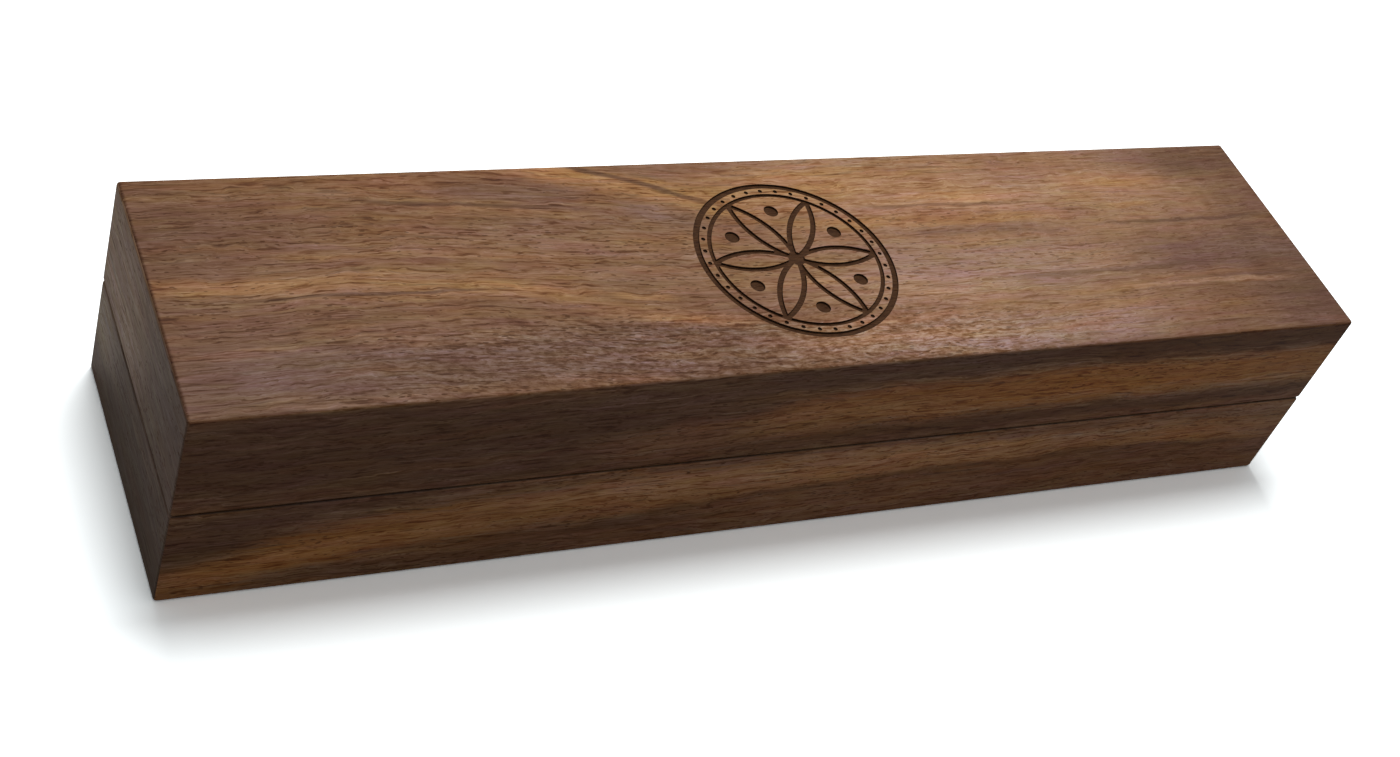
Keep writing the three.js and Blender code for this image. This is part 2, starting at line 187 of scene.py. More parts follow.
def shell(name, rows, closed=False):
    """A shell over rows of points, its ends capped or joined. A row of one point is a pole."""
    shape = bmesh.new()
    rows = [[shape.verts.new(point) for point in row] for row in rows]
    for this, following in zip(rows, rows[1:] + (rows[:1] if closed else [])):
        for k in range(max(len(this), len(following))):
            ends = (this, k), (this, k + 1), (following, k + 1), (following, k)
            corners = dict.fromkeys(row[i % len(row)] for row, i in ends)
            shape.faces.new(list(corners))
    if not closed and len(rows[0]) > 1:
        shape.faces.new(rows[0][::-1])
        shape.faces.new(rows[-1])
    bmesh.ops.recalc_face_normals(shape, faces=shape.faces[:])
    return object_of(name, shape)


# Node trees

SOCKET_KINDS = {float: "Float", int: "Int", bool: "Bool"}


class Nodes:
    """Adds nodes to a tree, and links or sets their inputs."""

    def __init__(self, tree):
        self.tree = tree

    def feed(self, socket, value):
        if isinstance(value, bpy.types.Node):
            value = value.outputs[0]
        if isinstance(value, bpy.types.NodeSocket):
            self.tree.links.new(value, socket)
        elif socket.type == "RGBA" and len(value) == 3:
            socket.default_value = (*value, 1)
        else:
            socket.default_value = value

    def add(self, kind, inputs=None, **settings):
        node = self.tree.nodes.new(kind)
        for name, value in settings.items():
            setattr(node, name, value)
        for key, value in (inputs or {}).items():
            self.feed(node.inputs[key], value)
        return node

    def math(self, operation, *values, clamp=False):
        inputs = dict(enumerate(values))
        return self.add("ShaderNodeMath", inputs, operation=operation, use_clamp=clamp).outputs[0]

    def chain(self, operation, first, *others):
        for value in others:
            first = self.math(operation, first, value)
        return first

    def times(self, *values):
        return self.chain("MULTIPLY", *values)

    def plus(self, *values):
        return self.chain("ADD", *values)

    def minus(self, *values):
        return self.chain("SUBTRACT", *values)

    def size(self, value):
        return self.math("ABSOLUTE", value)

    def weighted(self, *pairs):
        """The sum of values, each times its weight."""
        return self.plus(*(self.times(value, weight) for value, weight in pairs))

    def swing(self, value, amount):
        """Turns 0..1 into a move of up to half the amount either way."""
        return self.times(self.minus(value, 0.5), amount)

    def vector(self, operation, *values):
        node = self.add("ShaderNodeVectorMath", dict(enumerate(values)), operation=operation)
        return node.outputs["Value" if operation == "LENGTH" else "Vector"]

    def mix(self, share, a, b, blend="MIX"):
        node = self.add("ShaderNodeMix", {0: share, 6: a, 7: b}, data_type="RGBA", blend_type=blend)
        return node.outputs[2]

    def span(self, value, low, high, to_low=0.0, to_high=1.0, smooth=False):
        """Maps low..high to to_low..to_high, and holds the ends."""
        kind = "SMOOTHSTEP" if smooth else "LINEAR"
        inputs = {0: value, 1: low, 2: high, 3: to_low, 4: to_high}
        return self.add("ShaderNodeMapRange", inputs, interpolation_type=kind).outputs[0]

    def noise(self, place, frequency, detail=2.0, rough=0.5):
        """Cloudy chance values, with a frequency for each axis."""
        stretched = self.vector("MULTIPLY", place, frequency)
        inputs = {"Vector": stretched, "Scale": 1.0, "Detail": detail, "Roughness": rough}
        return self.add("ShaderNodeTexNoise", inputs).outputs[0]

    def cells(self, place, frequency):
        """Distance to the nearest of many strewn points."""
        stretched = self.vector("MULTIPLY", place, frequency)
        return self.add("ShaderNodeTexVoronoi", {"Vector": stretched, "Scale": 1.0}).outputs["Distance"]

    def joined(self, x, y, z):
        return self.add("ShaderNodeCombineXYZ", {0: x, 1: y, 2: z}).outputs[0]

    def parts(self, place):
        return self.add("ShaderNodeSeparateXYZ", {0: place}).outputs


def new_group(name, inputs, outputs, tree_kind="ShaderNodeTree"):
    """A node group, its nodes and its inputs. Each socket is told by its first value or by its kind."""
    tree = bpy.data.node_groups.new(name, tree_kind)
    for way, sockets in (("INPUT", inputs), ("OUTPUT", outputs)):
        for title, value in sockets.items():
            kind = SOCKET_KINDS.get(type(value), value)
            socket = tree.interface.new_socket(name=title, in_out=way, socket_type=f"NodeSocket{kind}")
            if kind != value:
                socket.default_value = value
    n = Nodes(tree)
    return tree, n, n.add("NodeGroupInput").outputs


def finish_tree(n, copies, finish):
    """Ends a geometry tree: real meshes in one material."""
    real = n.add("GeometryNodeRealizeInstances", {0: copies})
    done = n.add("GeometryNodeSetMaterial", {"Geometry": real, "Material": finish})
    n.add("NodeGroupOutput", {0: done})


def grown(name, tree, points, inputs):
    """A plain mesh made by a geometry tree from some points."""
    mesh = bpy.data.meshes.new(name)
    mesh.from_pydata(points, [], [])
    obj = new_object(name, mesh)
    modifier = obj.modifiers.new(name, "NODES")
    modifier.node_group = tree
    sockets = {item.name: item.identifier for item in tree.interface.items_tree}
    for title, value in inputs.items():
        modifier[sockets[title]] = value
    return applied(obj)


def scatter_tree():
    """Copies of a blank on the points of a mesh, each turned about its axis by chance."""
    tree, n, given = new_group("Pieces on points", {
        "Points": "Geometry", "Blank": "Object", "Upside down": False, "Most turn": pi, "Seed": 3,
        "Finish": "Material",
    }, {"Pieces": "Geometry"}, "GeometryNodeTree")
    blank = n.add("GeometryNodeObjectInfo", {"Object": given["Blank"]}).outputs["Geometry"]
    chance = {2: 0.0, 3: given["Most turn"], 8: given["Seed"]}
    turn = n.add("FunctionNodeRandomValue", chance, data_type="FLOAT").outputs[1]
    angles = n.joined(0.0, n.times(given["Upside down"], pi), turn)
    rotation = n.add("FunctionNodeEulerToRotation", {"Euler": angles})
    copies = n.add("GeometryNodeInstanceOnPoints", {
        "Points": given["Points"], "Instance": blank, "Rotation": rotation,
    })
    finish_tree(n, copies, given["Finish"])
    return tree


# Boards

def lies_on(edge, axis, place):
    return all(abs(v.co[axis] - place) < SAME_PLACE for v in edge.verts)


def saw(shape, point, normal):
    """Cuts away what lies past the plane, where its normal points, and closes the cut."""
    result = bmesh.ops.bisect_plane(
        shape, geom=shape.verts[:] + shape.edges[:] + shape.faces[:], plane_co=point, plane_no=normal,
        clear_outer=True, dist=1e-7,
    )
    rim = [e for e in result["geom_cut"] if isinstance(e, bmesh.types.BMEdge)]
    bmesh.ops.contextual_create(shape, geom=rim)


def ease(shape, chosen, width=INNER_EASE):
    """Takes the sharpness off the chosen edges."""
    edges = [e for e in shape.edges if chosen(e)]
    bmesh.ops.bevel(shape, geom=edges, offset=width, segments=2, profile=0.5, affect="EDGES")


# The two halves, each with the heights of its foot, its top and its open rim
HALVES = {"base": (0, BASE_TOP, BASE_TOP), "lid": (LID_FOOT, LID_TOP, LID_FOOT)}

# Each side of the case: the way it faces, and the distance from the middle to its outer face
SIDES = {
    "front": (Vector((0, -1, 0)), HALF_WIDTH),
    "right": (Vector((1, 0, 0)), HALF_LENGTH),
    "back": (Vector((0, 1, 0)), HALF_WIDTH),
    "left": (Vector((-1, 0, 0)), HALF_LENGTH),
}


def case_block(body):
    """The whole lid or base as one solid with every edge rounded, those of its rim less."""
    foot, top, rim = HALVES[body]
    shape = cuboid((-HALF_LENGTH, -HALF_WIDTH, foot), (HALF_LENGTH, HALF_WIDTH, top))
    weights = shape.edges.layers.float.new("bevel_weight_edge")
    for edge in shape.edges:
        edge[weights] = RIM_RADIUS / EDGE_RADIUS if lies_on(edge, 2, rim) else 1.0
    block = object_of("block", shape)
    modified(block, "BEVEL", width=EDGE_RADIUS, segments=EDGE_STEPS, limit_method="WEIGHT")
    shape = bmesh.new()
    shape.from_mesh(block.data)
    bpy.data.objects.remove(block)
    return shape


def rail(body, side):
    """One of the four boards round a half, mitred at both ends and, on the lid, at the top."""
    outward, reach = SIDES[side]
    along = UP.cross(outward)
    half_run = HALF_LENGTH if abs(along.x) > 0.5 else HALF_WIDTH
    inner = outward * (reach - BOARD)
    shape = case_block(body)
    saw(shape, inner, -outward)
    for way in (-1, 1):
        corner = outward * reach + along * (way * (half_run - JOINT_GAP))
        saw(shape, corner, (along * way - outward).normalized())
    if body == "lid":
        saw(shape, outward * reach + UP * (LID_TOP - JOINT_GAP), (UP - outward).normalized())
    rim = HALVES[body][2]
    axis = 1 if abs(outward.y) > 0.5 else 0
    ease(shape, lambda e: lies_on(e, 2, rim) and lies_on(e, axis, inner[axis]))
    return object_of(f"{body}_{side}_board", shape)


def top_board():
    """The lid's panel, mitred down all four sides."""
    shape = case_block("lid")
    saw(shape, UP * (LID_TOP - BOARD), -UP)
    for outward, reach in SIDES.values():
        saw(shape, outward * reach + UP * (LID_TOP + JOINT_GAP), (outward - UP).normalized())
    return object_of("lid_top_board", shape)


def bottom_board():
    shape = cuboid(PANEL_LOW, PANEL_HIGH)
    ease(shape, lambda e: True, PANEL_EASE)
    return object_of("base_bottom_board", shape)


# Engraving on the lid: two rings, six compass arcs, an eye, six buds and a row of beads
ENGRAVE_DEPTH = 0.6 * MM
ENGRAVE_STEP = 0.002 * MM
BEAD_DEPTH = 0.45 * MM
OUTER_RING = (27.0 * MM, 1.7 * MM)
INNER_RING = (23.5 * MM, 1.2 * MM)
PETAL_LINE = 1.5 * MM
EYE_RADIUS = 2.4 * MM
BUD_RADIUS = 2.0 * MM
BUD_PLACE = 17.5 * MM
BEAD_RADIUS = 0.6 * MM
BEAD_COUNT = 36
OUTER_STEPS, INNER_STEPS, PETAL_STEPS = 160, 144, 40
PIT_SIDES, BEAD_SIDES = 40, 14


def arc_groove(floor, centre, radius, line, start, sweep, steps):
    """A cutter down to a floor along an arc, or all round."""
    roof = LID_TOP + OVERRUN
    closed = sweep == 2 * pi
    rows = []
    for i in range(steps if closed else steps + 1):
        turn = start + sweep * i / steps
        ray = Vector((cos(turn), sin(turn), 0))
        a, b = centre + ray * (radius - line / 2), centre + ray * (radius + line / 2)
        rows.append([(p.x, p.y, z) for p, z in ((a, floor), (b, floor), (b, roof), (a, roof))])
    return shell("groove", rows, closed)


def pit(floor, radius, distance, turn):
    """A round cutter at a distance from the rosette's middle."""
    x, y = distance * cos(turn), distance * sin(turn)
    return rod_object(radius, (x, y, floor), (x, y, LID_TOP + OVERRUN), PIT_SIDES)


def rosette_cutters():
    """Each cutter goes a hair deeper than the last, so that no two floors meet."""
    floors = iter(LID_TOP - ENGRAVE_DEPTH - i * ENGRAVE_STEP for i in range(16))
    middle = Vector((0, 0, 0))
    third = 2 * pi / 3
    cutters = [
        arc_groove(next(floors), middle, *OUTER_RING, 0, 2 * pi, OUTER_STEPS),
        arc_groove(next(floors), middle, *INNER_RING, 0, 2 * pi, INNER_STEPS),
        pit(next(floors), EYE_RADIUS, 0, 0),
    ]
    for petal in range(6):
        turn = petal * pi / 3
        centre = Vector((cos(turn), sin(turn), 0)) * INNER_RING[0]
        cutters += [
            arc_groove(next(floors), centre, INNER_RING[0], PETAL_LINE, turn + third, third, PETAL_STEPS),
            pit(next(floors), BUD_RADIUS, BUD_PLACE, turn + pi / 6),
        ]
    return cutters + [bead_cutter()]


def bead_cutter():
    """The row of beads between the two rings."""
    inner = INNER_RING[0] + INNER_RING[1] / 2
    outer = OUTER_RING[0] - OUTER_RING[1] / 2
    sizes = {
        "Count": BEAD_COUNT, "Ring radius": (inner + outer) / 2, "Bead radius": BEAD_RADIUS,
        "Depth": 2 * OVERRUN, "Height": LID_TOP - BEAD_DEPTH + OVERRUN,
    }
    inputs = sizes | {"Finish": "Material"}
    tree, n, given = new_group("Ring of beads", inputs, {"Beads": "Geometry"}, "GeometryNodeTree")
    circle = {0: given["Count"], 4: given["Ring radius"]}
    bead = {"Vertices": BEAD_SIDES, "Radius": given["Bead radius"], "Depth": given["Depth"]}
    path = n.add("GeometryNodeCurvePrimitiveCircle", circle, mode="RADIUS")
    copies = n.add("GeometryNodeInstanceOnPoints", {
        "Points": n.add("GeometryNodeCurveToPoints", {"Curve": path}, mode="EVALUATED"),
        "Instance": n.add("GeometryNodeMeshCylinder", bead),
    })
    rise = {"Geometry": copies, "Translation": n.joined(0, 0, given["Height"])}
    finish_tree(n, n.add("GeometryNodeTransform", rise), given["Finish"])
    return grown("beads", tree, [], sizes)


# Rabbet for the bottom, and pockets in the rims

def rabbet():
    """Cutter for the step round the base's foot."""
    low = PANEL_LOW - Vector((PANEL_PLAY, PANEL_PLAY, OVERRUN))
    return box_object(low, PANEL_HIGH + Vector((PANEL_PLAY, PANEL_PLAY, RABBET_PLAY)))


def pair_of(name):
    """The boxes of the left and the right node of a pair."""
    return [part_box(f"{name}_{side}") for side in PAIR]


def pocket_span(body, low, high, play):
    """The heights of a pocket's floor and of a place outside the open rim."""
    if body == "lid":
        return high.z + play, LID_FOOT - OVERRUN
    return low.z - play, BASE_TOP + OVERRUN


def mortises(body):
    """Cutters for the two hinge leaves in a back rail."""
    cutters = []
    for low, high in pair_of(f"{body}_hinge_leaf"):
        floor, roof = sorted(pocket_span(body, low, high, MORTISE_PLAY))
        near = (low.x - MORTISE_PLAY, low.y - MORTISE_PLAY, floor)
        cutters.append(box_object(near, (high.x + MORTISE_PLAY, HALF_WIDTH + OVERRUN, roof)))
    return cutters


def magnet_pockets(body):
    """Cutters for the two magnets in a front rail."""
    cutters = []
    for low, high in pair_of(f"{body}_magnet"):
        x, y, _ = (low + high) / 2
        deep, out = pocket_span(body, low, high, POCKET_PLAY)
        cutters.append(rod_object((high.x - low.x) / 2 + POCKET_PLAY, (x, y, deep), (x, y, out)))
    return cutters


def woodwork():
    """Every board, under the CAD node that it stands for."""
    boards = {}
    for body in HALVES:
        for side in SIDES:
            cutters = [rabbet()] if body == "base" else []
            if side == "back":
                cutters += mortises(body)
            if side == "front":
                cutters += magnet_pockets(body)
            boards[f"{body}_{side}_rail"] = cut(rail(body, side), cutters)
    boards["lid_top_panel"] = cut(top_board(), rosette_cutters())
    boards["base_bottom_panel"] = bottom_board()
    for board in boards.values():
        shaded(board)
    return boards


# Hinges, screws and magnets
LEAF_THICKNESS = 2.4 * MM
HEEL_GAP = 0.3 * MM
BARREL_PLAY = 0.3 * MM
BORE_PLAY = 0.12 * MM
HARDWARE_EASE = 0.12 * MM
HARDWARE_SHARP = radians(40)
ROUND_SHARP = radians(50)
PIN_SIDES = 24
PIN_DOME = 0.35 * MM
MAGNET_EASE = 0.25 * MM
SCREW_SIDES = 32
SCREW_PLAY = 0.12 * MM
SCREW_TIP = 1 * MM
SCREW_TAPER = 2 * MM
SCREW_TURNS = 9
THREAD_ROOM = 1.6 * MM
HEAD_DEPTH = 0.9 * MM
HEAD_RIM = 0.12 * MM
HEAD_CROWN = 0.02 * MM
SLOT_HALF_WIDTH = 0.2 * MM
SLOT_DEPTH = 0.45 * MM


def leaf_plate(low, high):
    """The base's leaf as a plain plate with a bevelled heel past the pin."""
    bevel = radians(frame["joints"][0]["range_deg"][1]) / 2
    setback = HEEL_GAP / 2
    face = BASE_TOP - PIN_Z
    back = face - LEAF_THICKNESS

    def heel(level):
        along = (-level - setback * cos(bevel)) / sin(bevel)
        return along * cos(bevel) - setback * sin(bevel)

    reach = low.y - PIN_Y
    section = ((reach, back), (heel(back), back), (heel(face), face), (reach, face))
    shape = bmesh.new()
    plate = shape.faces.new([shape.verts.new((low.x, PIN_Y + y, PIN_Z + z)) for y, z in section])
    added = bmesh.ops.extrude_face_region(shape, geom=[plate])["geom"]
    far_end = [v for v in added if isinstance(v, bmesh.types.BMVert)]
    bmesh.ops.translate(shape, vec=Vector((high.x - low.x, 0, 0)), verts=far_end)
    bmesh.ops.recalc_face_normals(shape, faces=shape.faces[:])
    return object_of("leaf_plate", shape)


def knuckles(own, low, high, radius, extra=0):
    """Bars along the pin: the middle third for the base's leaf, the outer two for the lid's."""
    third = (high.x - low.x) / 3
    middle = (high.x + low.x) / 2
    inner = third / 2
    if own == "base":
        half = inner - BARREL_PLAY / 2 + extra
        spans = [(middle - half, middle + half)]
    else:
        near, far = inner + BARREL_PLAY / 2 - extra, third * 1.5 + extra
        spans = [(middle - far, middle - near), (middle + near, middle + far)]
    return [rod_object(radius, (a, PIN_Y, PIN_Z), (b, PIN_Y, PIN_Z)) for a, b in spans]


def countersinks(side):
    """Cutters for a leaf's two screw holes, in shares of the head's radius."""
    cutters = []
    for end in ("outer", "inner"):
        low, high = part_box(f"base_hinge_screw_{side}_{end}")
        x, y, _ = (low + high) / 2
        head = (high.x - low.x) / 2 + SCREW_PLAY
        place = Matrix.Translation((x, y, high.z - head * 0.33))
        cutters += [
            cone_object(head * 0.45, head * 1.25, head * 1.1, place, SCREW_SIDES),
            rod_object(head * 0.6, (x, y, low.z), (x, y, high.z + OVERRUN), SCREW_SIDES),
        ]
    return cutters


def hinge_leaf(body, side):
    """One leaf with its knuckles. The lid's is made in the base's place and then turned over."""
    low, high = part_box(f"base_hinge_leaf_{side}")
    barrel = high.z - PIN_Z
    other = "lid" if body == "base" else "base"
    leaf = leaf_plate(low, high)
    leaf.name = f"{body}_hinge_{side}"
    cut(leaf, knuckles(other, low, high, barrel + BARREL_PLAY, BARREL_PLAY))
    combined(leaf, knuckles(body, low, high, barrel), "UNION")
    ends = (low.x - OVERRUN, PIN_Y, PIN_Z), (high.x + OVERRUN, PIN_Y, PIN_Z)
    cut(leaf, [rod_object(PIN_RADIUS + BORE_PLAY, *ends)] + countersinks(side))
    modified(
        leaf, "BEVEL", width=HARDWARE_EASE, segments=2, limit_method="ANGLE", angle_limit=HARDWARE_SHARP,
        use_clamp_overlap=True,
    )
    if body == "lid":
        middle = Vector(((low.x + high.x) / 2, PIN_Y, PIN_Z))
        leaf.data.transform(
            Matrix.Translation(middle) @ Matrix.Rotation(pi, 4, "Y") @ Matrix.Translation(-middle)
        )
    return shaded(leaf)


def turned_object(name, profile, sides=CURVE_SIDES):
    """A round piece about the Z axis from (radius, height) points that start and end on the axis."""
    turns = [2 * pi * i / sides for i in range(sides)]
    return shell(name, [
        [(radius * cos(turn), radius * sin(turn), height) for turn in (turns if radius else (0,))]
        for radius, height in profile
    ])


def mirrored(half):
    """A whole profile from its lower half."""
    return half + [(radius, -height) for radius, height in reversed(half)]


def hinge_pin(side):
    """A pin with a slight dome at each end."""
    low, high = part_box(f"hinge_pin_{side}")
    end, r = (low.x - high.x) / 2, PIN_RADIUS
    profile = mirrored([(0, end), (r * 0.6, end + PIN_DOME * 0.15), (r, end + PIN_DOME)])
    pin = turned_object(f"hinge_pin_{side}_turned", profile, PIN_SIDES)
    pin.data.transform(Matrix.Translation((low + high) / 2) @ Matrix.Rotation(pi / 2, 4, "Y"))
    return shaded(pin, ROUND_SHARP)


def magnet_disc():
    """A magnet with eased rims, its middle at the origin."""
    low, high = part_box("base_magnet_left")
    r, foot, e = (high.x - low.x) / 2, (low.z - high.z) / 2, MAGNET_EASE
    return turned_object("magnet_blank", mirrored([
        (0, foot), (r - e, foot), (r - e * 0.3, foot + e * 0.3), (r, foot + e),
    ]))


def screw_blank():
    """A countersunk slotted screw, point down, with the face of its head at the origin."""
    low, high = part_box("base_hinge_screw_left_outer")
    head = (high.y - low.y) / 2
    length = high.z - low.z
    shank = head * 0.52
    profile = [(0, -length), (shank * 0.5, -length + SCREW_TIP), (shank, -length + SCREW_TAPER)]
    pitch = (length - SCREW_TAPER - THREAD_ROOM) / SCREW_TURNS
    for i in range(SCREW_TURNS):
        level = -length + SCREW_TAPER + i * pitch
        profile += [(shank * 0.8, level + pitch * 0.35), (shank, level + pitch * 0.6)]
    neck = shank * 0.9
    profile += [(neck, -HEAD_DEPTH - 0.3 * MM), (neck, -HEAD_DEPTH), (head, -HEAD_RIM)]
    profile += [(head * 0.96, -HEAD_CROWN), (head * 0.6, 0), (0, 0)]
    blank = turned_object("screw_blank", profile, SCREW_SIDES)
    slot = box_object((-head * 2, -SLOT_HALF_WIDTH, -SLOT_DEPTH), (head * 2, SLOT_HALF_WIDTH, OVERRUN))
    return shaded(cut(blank, [slot]), HARDWARE_SHARP)


# Walnut. Places are in millimetres: x along the grain, y across the board's face, z into it.

# Patterns of the wood: frequency for each axis, then octaves and roughness if not 2 and 0.5
PATTERNS = {
    "drift": ((0.011, 0.03, 0.03),),
    "waver": ((0.04, 0.11, 0.11),),
    "ripple": ((0.13, 0.24, 0.24),),
    "bands": ((0.0035, 0.085, 0.055), 4, 0.58),
    "lines": ((0.009, 0.42, 0.2), 3, 0.6),
    "hairs": ((0.16, 6.0, 5.0), 2, 0.6),
    "fine fibre": ((0.08, 1.7, 1.3), 3, 0.6),
    "coarse fibre": ((0.055, 0.75, 0.65), 2, 0.55),
    "crests": ((0.016, 0.5, 0.4), 1, 0.5),
    "crowding": ((0.012, 0.07, 0.07),),
    "dashes": ((0.11, 1.6, 1.3), 2, 0.55),
    "mottle": ((0.36, 0.9, 0.8), 3, 0.68),
    "broad curl": ((0.11, 0.014, 0.014), 3, 0.55),
    "quilt": ((0.34, 0.09, 0.09),),
    "tint": ((0.022, 0.2, 0.15), 3, 0.6),
    "cast": ((0.05, 0.34, 0.3), 3, 0.6),
}
PORE_FREQUENCY = (0.28, 1.25, 1.1)
PORE_SIZE = 0.17
PORE_GROWTH = 0.1
SEED_SHIFT = (37.7, 91.3, 53.9)
CAST_SHIFT = (211.0, 137.0, 71.0)
WANDER, WAVER, RIPPLE = 6.0, 2.4, 2.0


def grain_group():
    """The wood's structure: slow bands, long fibres, dark lines and pores."""
    results = ("Tone", "Fibre", "Dashes", "Threads", "Pores", "Mottle", "Hairs", "Curl", "Tint", "Cast")
    tree, n, given = new_group("Walnut grain", {
        "Place": "Vector", "Seed": 0.0, "Flow": 0.0, "Wander": WANDER, "Pore size": PORE_SIZE,
    }, {"Bent": "Vector"} | dict.fromkeys(results, 0.0))

    def pattern(name, place):
        return n.noise(place, *PATTERNS[name])

    shift = n.vector("MULTIPLY", n.joined(given["Seed"], given["Seed"], given["Seed"]), SEED_SHIFT)
    place = n.vector("ADD", n.vector("ADD", given["Place"], shift), n.joined(0.0, given["Flow"], 0.0))
    sway = n.plus(
        n.swing(pattern("drift", place), given["Wander"]),
        n.swing(pattern("waver", place), WAVER),
        n.swing(pattern("ripple", place), RIPPLE),
    )
    offset = n.joined(0.0, sway, sway)
    bent = n.vector("ADD", place, offset)
    coarse = pattern("coarse fibre", bent)
    crest = n.size(n.minus(pattern("crests", bent), 0.5))
    crowd = n.span(pattern("crowding", bent), 0.36, 0.62, -0.08, 0.08)
    room = n.minus(n.plus(given["Pore size"], crowd), n.cells(bent, PORE_FREQUENCY))
    n.add("NodeGroupOutput", {
        "Bent": n.vector("ADD", given["Place"], offset),
        "Tone": n.weighted((pattern("bands", bent), 0.65), (pattern("lines", bent), 0.35)),
        "Fibre": n.weighted((pattern("fine fibre", bent), 0.5), (coarse, 0.5)),
        "Dashes": pattern("dashes", bent),
        "Threads": n.times(n.span(crest, 0.03, 0.008), n.span(coarse, 0.42, 0.6)),
        "Pores": n.span(room, -0.02, 0.05, smooth=True),
        "Mottle": pattern("mottle", bent),
        "Hairs": pattern("hairs", bent),
        "Curl": n.weighted((pattern("broad curl", place), 0.5), (pattern("quilt", place), 0.5)),
        "Tint": pattern("tint", bent),
        "Cast": pattern("cast", n.vector("ADD", bent, CAST_SHIFT)),
    })
    return tree


STREAK_INPUTS = ("Middle x", "Middle y", "Half length", "Half width", "Strength", "Slope", "Bend")


def streak_group():
    """The share of one band of figure at a place: a soft strip along a bent line."""
    inputs = {"Place": "Vector", "Fibre": 0.0} | dict.fromkeys(STREAK_INPUTS, 0.0)
    tree, n, given = new_group("Figure streak", inputs, {"Share": 0.0})
    x, y, _ = n.parts(given["Place"])
    along = n.minus(x, given["Middle x"])
    rise = n.times(n.plus(given["Slope"], n.times(given["Bend"], along)), along)
    across = n.size(n.minus(y, given["Middle y"], rise))
    ragged = n.swing(given["Fibre"], 1.6)
    off = n.plus(n.math("DIVIDE", across, given["Half width"]), ragged)
    middle = n.span(off, 1.15, 0.25, smooth=True)
    past = n.math("DIVIDE", n.size(along), given["Half length"])
    ends = n.span(past, 1.05, 0.4, smooth=True)
    share = n.math("MULTIPLY", n.times(middle, ends), given["Strength"], clamp=True)
    n.add("NodeGroupOutput", {"Share": share})
    return tree


GRAIN = grain_group()
STREAK = streak_group()

# Colours of the wood, linear
BROWN = (0.192, 0.095, 0.047)
UMBER = (0.108, 0.05, 0.025)
HONEY = (0.36, 0.184, 0.074)
AMBER = (0.38, 0.16, 0.046)
TAN = (0.366, 0.208, 0.118)
PLUM = (0.15, 0.077, 0.048)
RUST = (0.185, 0.08, 0.041)
ASH = (0.1, 0.066, 0.041)
INK = (0.05, 0.018, 0.006)
MAHOGANY = (0.098, 0.038, 0.012)
COPPER = (0.345, 0.132, 0.03)
WHEAT = (0.372, 0.172, 0.064)
GOLD = (0.47, 0.242, 0.115)
RUSSET = (0.235, 0.103, 0.047)
HEATHER = (0.165, 0.095, 0.067)
MAUVE = (0.37, 0.25, 0.195)
DRAB = (0.33, 0.232, 0.152)
OAT = (0.5, 0.37, 0.23)

# Casts over the wood: pattern, where it starts and is full, the most of it, and its colour
CASTS = (
    ("Tint", 0.5, 0.34, 0.5, (0.92, 0.84, 0.96)),
    ("Tint", 0.5, 0.66, 0.45, (1.2, 1.0, 0.74)),
    ("Cast", 0.52, 0.68, 0.6, (0.99, 1.06, 0.8)),
    ("Cast", 0.5, 0.34, 0.7, (1.0, 0.91, 1.12)),
)
# Dark fibres are redder: how strongly red, green and blue follow the light and dark
DEEPENING = (0.75, 1.1, 1.6)

